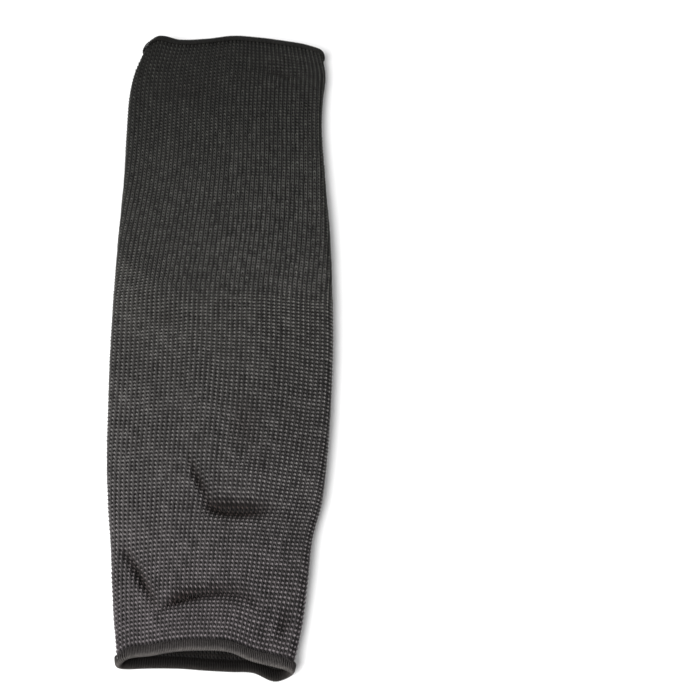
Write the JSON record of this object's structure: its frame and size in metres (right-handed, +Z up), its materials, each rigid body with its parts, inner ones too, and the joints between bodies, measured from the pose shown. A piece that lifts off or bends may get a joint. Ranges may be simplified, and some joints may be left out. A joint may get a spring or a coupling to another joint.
{
  "type": "cut resistant arm sleeve",
  "caption": "Seamless knitted arm sleeve of wire-cored yarn, tapering to the wrist, with an overlocked hem at each mouth, lying flat.",
  "frame": {"origin": "middle of the footprint, on the surface that the sleeve lies on", "axes": "+Y along the sleeve from the wrist mouth to the upper arm mouth, +X across it, +Z up from the lower layer to the upper one"},
  "size_m": [0.1258, 0.4124, 0.0205],
  "materials": {
    "wire_cored_yarn": "matte dark grey yarn knitted in reverse stocking stitch, with a faint sheen on each bump",
    "wrist_thread": "matte brown-grey overlock thread",
    "upper_arm_thread": "matte near-black overlock thread"
  },
  "bodies": {
    "root": {"knit_tube": "wire_cored_yarn", "wrist_hem": "wrist_thread", "upper_arm_hem": "upper_arm_thread"}
  },
  "joints": []
}
